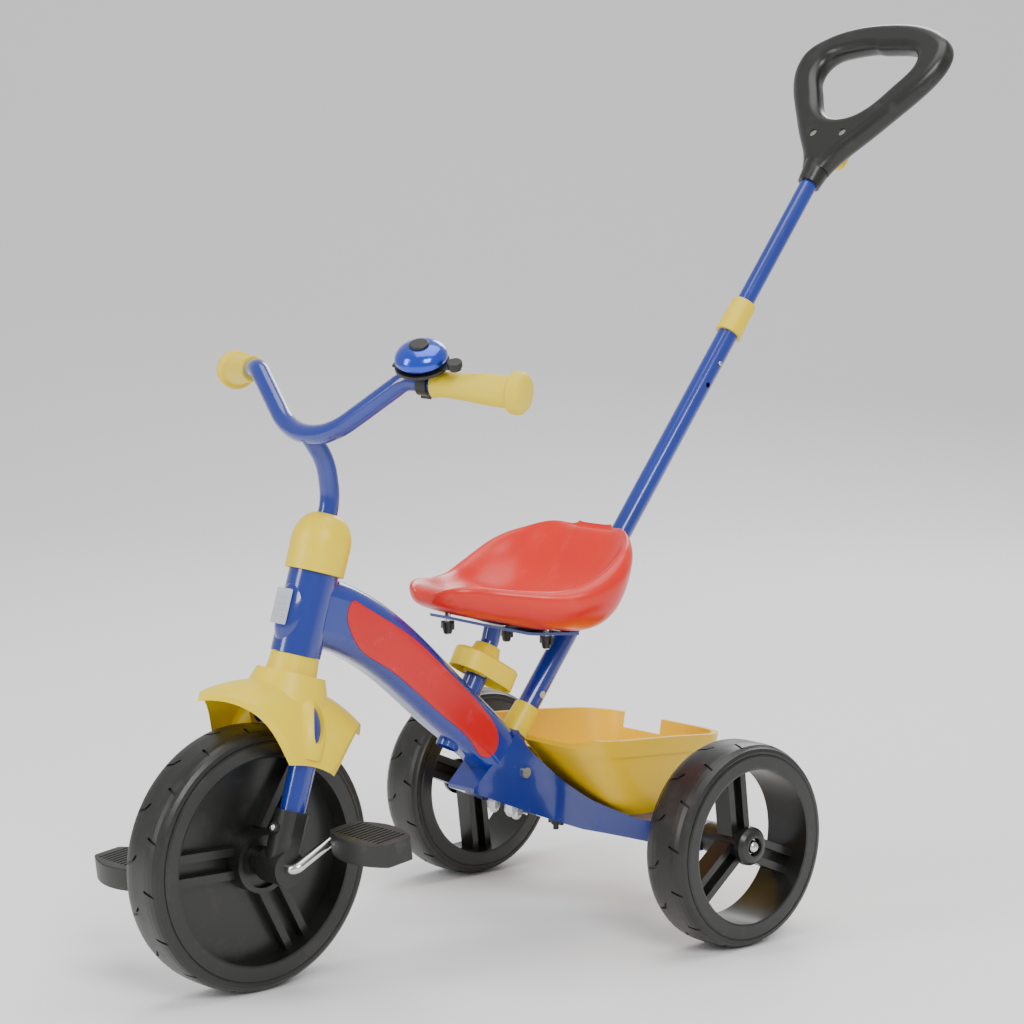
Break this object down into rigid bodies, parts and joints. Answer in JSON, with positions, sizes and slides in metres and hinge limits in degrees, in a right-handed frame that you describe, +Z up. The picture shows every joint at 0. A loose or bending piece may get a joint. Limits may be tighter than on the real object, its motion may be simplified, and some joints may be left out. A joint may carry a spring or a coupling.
{
  "type": "tricycle",
  "caption": "Pedal tricycle for a small child, with a sloping beam, saddle, fender, bell, rear bucket and a telescoping parent push pole with a loop handle.",
  "frame": {"origin": "on the ground, at the middle of the whole length and width, push handle and front tyre included", "axes": "+X forward towards the front wheel, +Y to the rider's left, +Z up"},
  "size_m": [1.0368, 0.4588, 0.928],
  "materials": {
    "badge_silver": "metallic satin",
    "bell_blue": "high gloss",
    "black_plastic": "satin",
    "blue_paint": "gloss paint",
    "blue_plastic": "gloss",
    "bright_steel": "bright plated",
    "bucket_yellow": "satin gloss",
    "bush_plastic": "satin",
    "grip_plastic": "soft satin",
    "red_plastic": "satin gloss",
    "tyre_rubber": "satin",
    "wheel_plastic": "satin gloss",
    "yellow_plastic": "satin gloss"
  },
  "bodies": {
    "frame": {"main_beam": "blue_paint", "left_side_panel": "red_plastic", "right_side_panel": "red_plastic", "head_tube": "blue_paint", "head_badge": "badge_silver", "upper_bush": "bush_plastic", "lower_bush": "bush_plastic", "rear_frame": "blue_plastic", "rear_axle": "bright_steel", "rear_axle_nuts": "bright_steel", "rear_axle_washers": "bright_steel", "seat_tube": "blue_paint", "seat_clamp": "yellow_plastic", "seat_clamp_bolt": "bright_steel", "pole_socket": "blue_paint", "lower_pole": "blue_paint", "pole_base_collar": "yellow_plastic", "pole_screw": "bright_steel", "telescope_collar": "yellow_plastic", "bucket": "bucket_yellow", "frame_screws": "bright_steel", "frame_nuts": "bright_steel", "bucket_wing_nut": "black_plastic"},
    "steering": {"fork": "blue_paint", "left_fork_end": "black_plastic", "right_fork_end": "black_plastic", "fork_end_screws": "bright_steel", "front_fender": "yellow_plastic", "steering_collar": "yellow_plastic", "head_cap": "yellow_plastic", "handlebar": "blue_paint", "handlebar_stem": "blue_paint", "left_grip": "grip_plastic", "right_grip": "grip_plastic", "bell_clamp": "black_plastic", "bell_base": "black_plastic", "bell_dome": "bell_blue", "bell_cap": "black_plastic"},
    "bell_lever": {"bell_lever": "black_plastic"},
    "front_wheel": {"front_tyre": "tyre_rubber", "front_wheel": "wheel_plastic", "crank": "bright_steel"},
    "left_pedal": {"left_pedal": "black_plastic"},
    "right_pedal": {"right_pedal": "black_plastic"},
    "left_rear_wheel": {"left_rear_tyre": "tyre_rubber", "left_rear_wheel": "wheel_plastic", "left_hub_cap": "black_plastic"},
    "right_rear_wheel": {"right_rear_tyre": "tyre_rubber", "right_rear_wheel": "wheel_plastic", "right_hub_cap": "black_plastic"},
    "seat": {"seat_post": "blue_paint", "seat_plate": "blue_paint", "seat_bolts": "bright_steel", "seat_wing_nuts": "black_plastic", "saddle": "red_plastic"},
    "snap_button": {"snap_button": "bright_steel"},
    "pole_top": {"upper_pole": "blue_paint", "push_handle": "black_plastic", "handle_screws": "bright_steel"},
    "handle_trigger": {"handle_trigger": "yellow_plastic"}
  },
  "joints": [
    {"name": "steering_turn", "type": "hinge", "parent": "frame", "child": "steering", "pos_m": [0.39401, 0, 0.125], "axis": [-0.2924, 0, 0.9563], "range_deg": [-45, 45]},
    {"name": "front_wheel_spin", "type": "hinge", "parent": "steering", "child": "front_wheel", "pos_m": [0.39401, 0, 0.125], "axis": [0, 1, 0], "continuous": true},
    {"name": "left_pedal_spin", "type": "hinge", "parent": "front_wheel", "child": "left_pedal", "pos_m": [0.34301, 0.118, 0.15], "axis": [0, 1, 0], "continuous": true},
    {"name": "right_pedal_spin", "type": "hinge", "parent": "front_wheel", "child": "right_pedal", "pos_m": [0.44501, -0.118, 0.1], "axis": [0, 1, 0], "continuous": true},
    {"name": "left_rear_wheel_spin", "type": "hinge", "parent": "frame", "child": "left_rear_wheel", "pos_m": [-0.05499, 0.1994, 0.102], "axis": [0, 1, 0], "continuous": true},
    {"name": "right_rear_wheel_spin", "type": "hinge", "parent": "frame", "child": "right_rear_wheel", "pos_m": [-0.05499, -0.1994, 0.102], "axis": [0, 1, 0], "continuous": true},
    {"name": "bell_lever_press", "type": "hinge", "parent": "steering", "child": "bell_lever", "pos_m": [0.28509, 0.12902, 0.57148], "axis": [0.3969, 0.2595, 0.8804], "range_deg": [0, 20], "stiffness_Nm_per_rad": 0.03},
    {"name": "seat_height", "type": "slide", "parent": "frame", "child": "seat", "axis": [-0.5, 0, 0.866], "range_m": [0, 0.035]},
    {"name": "pole_extend", "type": "slide", "parent": "frame", "child": "pole_top", "axis": [-0.6198, 0, 0.7848], "range_m": [-0.0285, 0]},
    {"name": "snap_button_press", "type": "slide", "parent": "frame", "child": "snap_button", "axis": [0, -1, 0], "range_m": [0, 0.003], "stiffness_N_per_m": 600},
    {"name": "trigger_press", "type": "slide", "parent": "pole_top", "child": "handle_trigger", "axis": [0.7848, 0, 0.6198], "range_m": [0, 0.004], "stiffness_N_per_m": 500}
  ]
}
